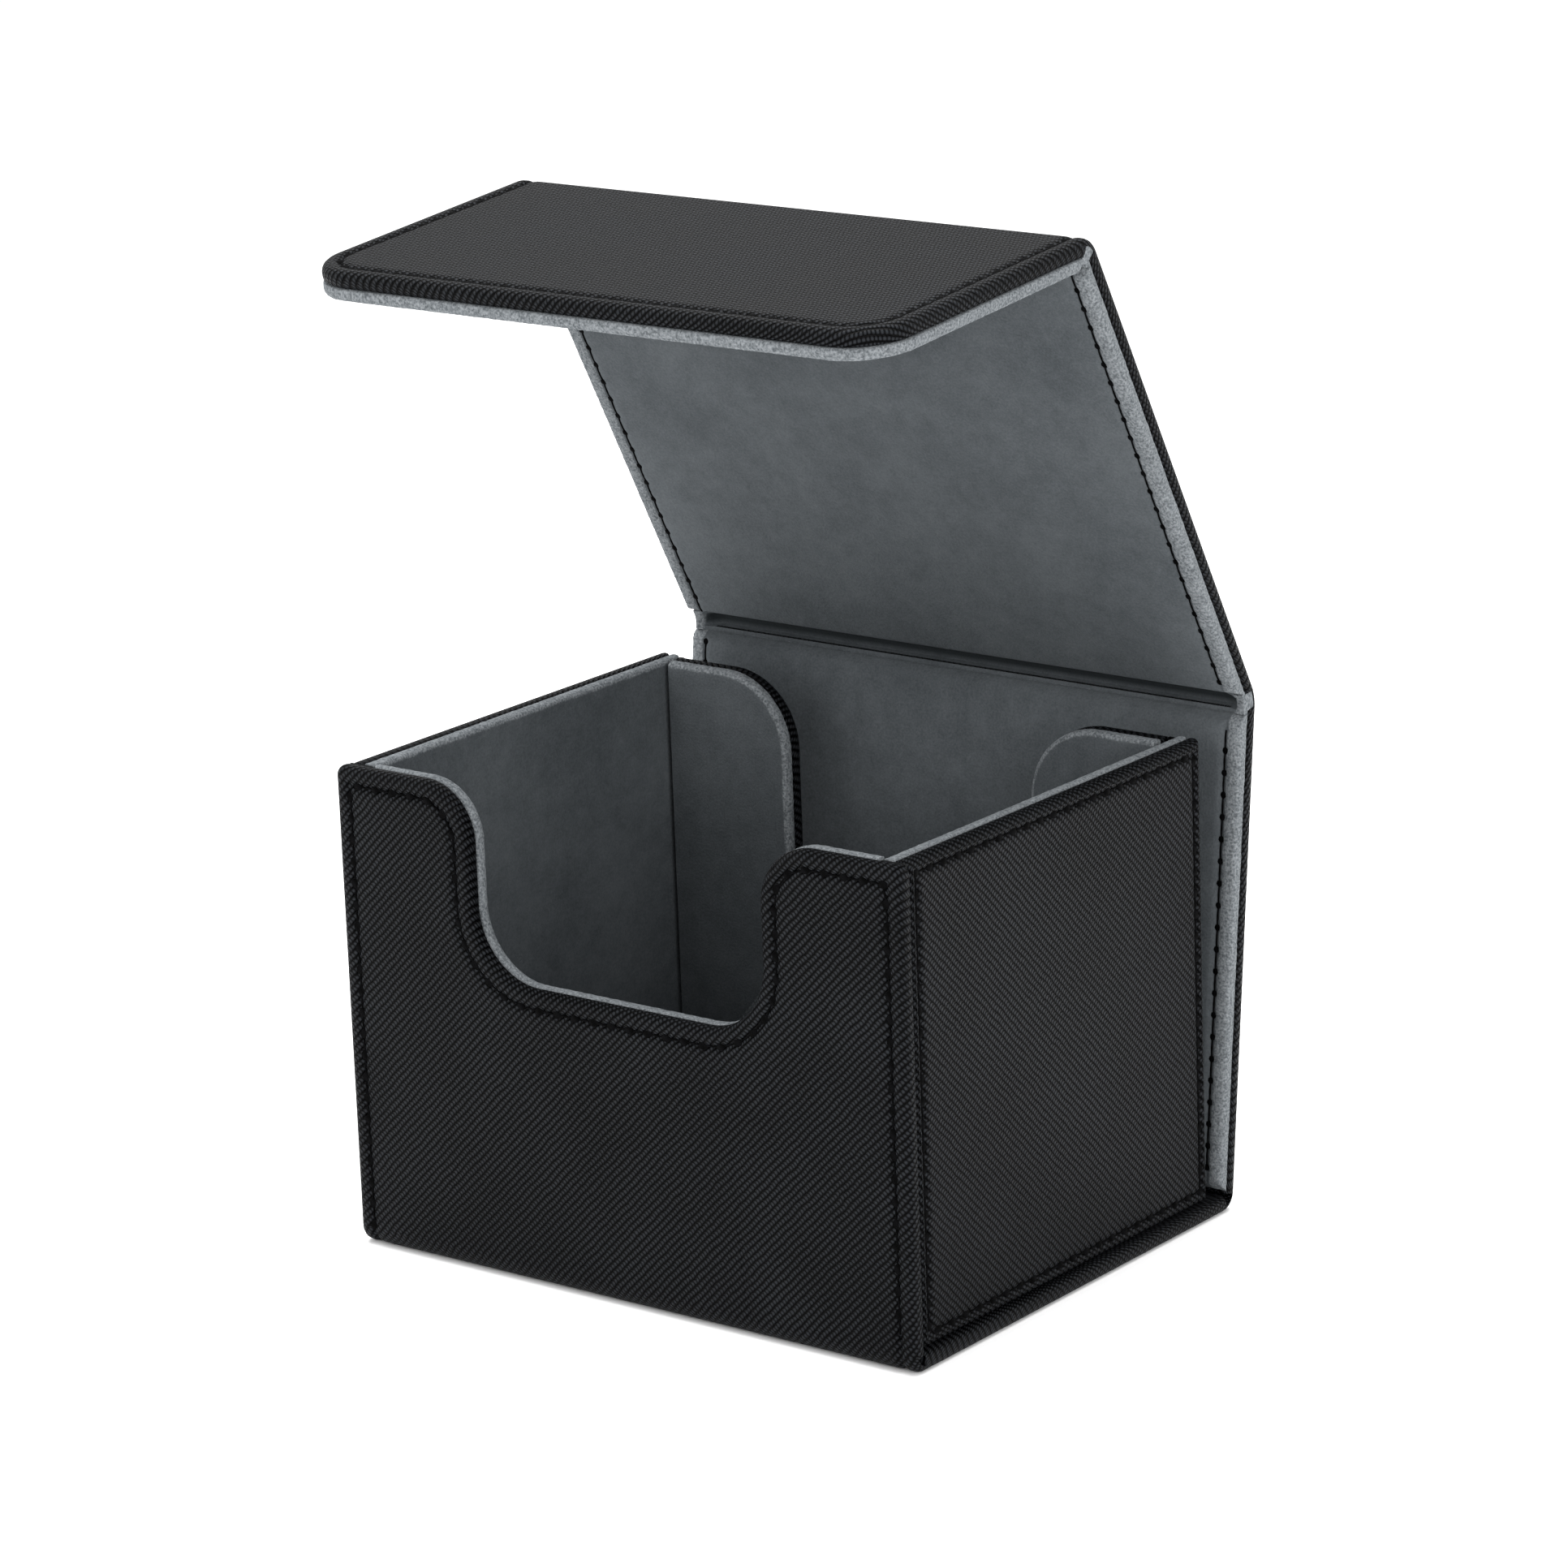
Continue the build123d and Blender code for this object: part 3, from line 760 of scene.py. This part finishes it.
# The strip: bottom, back, lid and front flap one after the other, and the front the other way
folds = {
    "front_fold": Fold("front_fold", bottom, bottom.cover[0].y, -1, front),
    "back_fold": Fold("back_fold", bottom, bottom.cover[1].y, 1, back),
    "lid_fold": Fold("lid_fold", back, back.cover[1].y, 1, lid),
    "flap_fold": Fold("flap_fold", lid, lid.cover[1].y, 1, front_flap),
}
run = {"bottom": 0.0}       # where each panel starts along the strip's unbroken grain
for fold in list(folds.values())[1:]:
    first_end = run[fold.first.name] + fold.first.cover[1].y
    run[fold.second.name] = first_end + fold.length - fold.second.cover[0].y
front_run = bottom.cover[0].y - folds["front_fold"].length + front.cover[0].y

for name, fold in folds.items():
    if fold.second is front:
        make_fold_leather(fold, bottom.cover[0].y, -1)
    else:
        make_fold_leather(fold, run[fold.first.name] + fold.first.cover[1].y, 1)
    inside_walls = name in ("front_fold", "back_fold")
    make_fold_lining(fold, bottom.lining[1].x if inside_walls else bottom.cover[1].x - 0.2)

for panel in (bottom, back, lid):
    low, high = panel.cover
    points = rectangle((low.x, low.y - OVERRUN), (high.x, high.y + OVERRUN))
    start = run[panel.name]
    outer = make_cover(
        panel, points, [], SEAM_IN, low.y, high.y, lambda skin, start=start: (skin.x, start + skin.y)
    )
    pad_low, pad_high = panel.lining
    seam_in = 0.0 if panel is bottom else SEAM_IN
    points = rectangle((pad_low.x, pad_low.y - OVERRUN), (pad_high.x, pad_high.y + OVERRUN))
    inner = make_lining(panel, points, [], seam_in, pad_low.y, pad_high.y)
    make_stitching(panel, outer, inner)

low, high = front_flap.cover
corners = corner_pair(low.x, high.x, high.y, 1, FLAP_CORNER)
flap_start = run["front_flap"]
outer = make_cover(
    front_flap, rectangle((low.x, low.y - OVERRUN), high), corners, SEAM_IN, near=low.y,
    skin_of=lambda skin: (skin.x, flap_start + skin.y),
)
pad_low, pad_high = front_flap.lining
points = rectangle((pad_low.x, pad_low.y - OVERRUN), pad_high)
inner = make_lining(front_flap, points, corners, SEAM_IN, near=pad_low.y)
make_stitching(front_flap, outer, inner)


def cutout_outline(half, near, top):
    """The front panel's outline, with the thumb cut-out in its top edge."""
    right = [(half, near), (half, top), (CUTOUT_HALF, top), (CUTOUT_HALF, cutout_floor)]
    return right + [(-x, y) for x, y in reversed(right)]


low, high = front.cover
cut_corners = [
    (side * CUTOUT_HALF, cutout_floor, side, -1, CUTOUT_LOWER) for side in (-1, 1)
] + [
    (side * CUTOUT_HALF, high.y, -side, 1, SHOULDER) for side in (-1, 1)
]
outer = make_cover(
    front, cutout_outline(high.x, low.y - OVERRUN, high.y),
    cut_corners + corner_pair(low.x, high.x, high.y, 1, CORNER), SEAM_IN, near=low.y,
    skin_of=lambda skin: (-skin.x, front_run - skin.y),
)
pad_low, pad_high = front.lining
points = cutout_outline(pad_high.x, pad_low.y - OVERRUN, pad_high.y)
make_lining(front, points, cut_corners, 0.0, near=pad_low.y)
make_stitching(front, outer, [])


# ---------------------------------------------------------------- the two wings
def make_wing(hand):
    """A side and its rear flap; hand is 1 for the right wing, -1 for the left."""
    label = "right" if hand > 0 else "left"
    out = Vector((hand, 0, 0))
    side = Panel(f"{label}_side", Vector((hand * side_x, front_y, 0)), Z_AXIS.copy(), -out)
    low, high = side.cover
    outer = make_cover(
        side, rectangle(low, high), [], SIDE_SEAM_IN, skin_of=lambda skin: (-hand * skin.x, skin.y)
    )
    make_lining(side, rectangle(*side.lining), [], 0.0)
    make_stitching(side, outer, [])

    flap = Panel(f"{label}_rear_flap", Vector((hand * side_x, rear_y, 0)), -out, Vector((0, -1, 0)))
    low, high = flap.cover
    top, floor = (high.x, low.x) if hand > 0 else (low.x, high.x)
    corners = [
        (top, high.y, hand, 1, REAR_TOP),
        (floor, high.y, -hand, 1, REAR_LOWER),
    ]
    start = (low.x, high.y - REAR_LOWER)
    outer = make_cover(
        flap, rectangle(start, high), corners, SEAM_IN, near=low.y, skin_of=lambda skin: (skin.y, skin.x)
    )
    make_lining(flap, rectangle(start, high), corners, 0.0, near=flap.lining[0].y, butted=True)
    make_stitching(flap, outer, [])
    make_corner(label)
    make_tape(label)


def sliced_box(low, high, way, eased=0.0):
    """A closed box between two corners, cut into slices along one axis, with eased edges if asked for."""
    bm = bmesh.new()
    size = Matrix.Diagonal((*(high - low), 1))
    bmesh.ops.create_cube(bm, size=1, matrix=Matrix.Translation((low + high) / 2) @ size)
    if eased:
        bmesh.ops.bevel(
            bm, geom=bm.edges[:], offset=eased, affect="EDGES", segments=2, profile=0.5, material=-1
        )
    cut_across(bm, [low.lerp(high, k / SLICES).dot(way) for k in range(1, SLICES)], way)
    return bm


def make_corner(label):
    """The leather that turns the corner from a side to its rear flap."""
    node = f"{label}_rear_corner_leather"
    low, high = [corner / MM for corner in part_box(node)]
    bm = sliced_box(low, high, X_AXIS, eased=0.12)
    skin = bm.verts.layers.float_vector.new("skin")
    for v in bm.verts:
        v[skin] = v.co
    piece = to_object(bm, f"{label}_rear_corner_skin", leather, None, lambda skin: (skin.x, skin.z))
    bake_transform(piece)
    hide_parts(node)


def make_tape(label):
    """The woven tape between the front panel and a side."""
    node = f"{label}_side_hinge_tape"
    low, high = [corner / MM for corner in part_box(node)]
    piece = to_object(sliced_box(low, high, Y_AXIS), f"{label}_side_hinge_cloth", tape)
    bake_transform(piece)
    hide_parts(node)


make_wing(-1)
make_wing(1)


# ---------------------------------------------------------------- boards and magnets, from the CAD
for name, node in frame["nodes"].items():
    inside = board if name.endswith("_board") else nickel if "magnet" in name else None
    if inside:
        node.data.materials.clear()
        node.data.materials.append(inside)


# ---------------------------------------------------------------- studio
FLOOR_REACH = 6000.0        # from the box to the floor's ends


def area_light(name, place, target, size, power):
    """A softbox that faces its target; lengths are in metres, power in watts."""
    light = bpy.data.lights.new(name, "AREA")
    light.shape = "RECTANGLE"
    light.size, light.size_y = size
    light.energy = power
    lamp = bpy.data.objects.new(name, light)
    lamp.location = place
    lamp.rotation_euler = (Vector(place) - Vector(target)).to_track_quat("Z", "Y").to_euler()
    bpy.context.scene.collection.objects.link(lamp)


bm = bmesh.new()
bmesh.ops.create_grid(bm, x_segments=4, y_segments=4, size=FLOOR_REACH)
floor = to_object(bm, "studio_floor", floor_paint)

area_light("high_softbox", place=(-0.1, 0.1, 0.9), target=(0, 0, 0.08), size=(0.9, 0.7), power=14)
area_light("front_fill", place=(-0.5, -1.0, 0.5), target=(0, 0, 0.06), size=(0.8, 0.6), power=3.5)
area_light("right_fill", place=(1.0, -0.5, 0.55), target=(0, 0, 0.06), size=(0.7, 0.6), power=6.5)

world = bpy.data.worlds.new("studio_white")
world.use_nodes = True
sky = world.node_tree.nodes["Background"]
sky.inputs["Color"].default_value = linear("#ffffff")
sky.inputs["Strength"].default_value = 0.85
bpy.context.scene.world = world
bpy.context.scene.view_settings.view_transform = "Standard"

# ---------------------------------------------------------------- camera
azimuth = math.radians(37.9)        # from the front, to the right
elevation = math.radians(15.92)
roll = math.radians(-2.07)
distance = 887.5                    # from the lens to the aim
backward = Vector((
    math.sin(azimuth) * math.cos(elevation), -math.cos(azimuth) * math.cos(elevation), math.sin(elevation)
))
level = Vector((math.cos(azimuth), math.sin(azimuth), 0))
upright = backward.cross(level)
right = level * math.cos(roll) + upright * math.sin(roll)
up = upright * math.cos(roll) - level * math.sin(roll)
near_middle = Vector((0, front_y + 40, 75))
shift_right, shift_down = 1.33, 4.26
aim = near_middle + right * shift_right - up * shift_down
turn = Matrix((right, up, backward)).transposed().to_4x4()
lens = bpy.data.cameras.new("studio_camera")
lens.lens = 136.5
lens.sensor_width = 36
lens.clip_start = 0.05
camera = bpy.data.objects.new("studio_camera", lens)
camera.matrix_world = Matrix.Translation((aim + backward * distance) * MM) @ turn
bpy.context.scene.collection.objects.link(camera)
bpy.context.scene.camera = camera
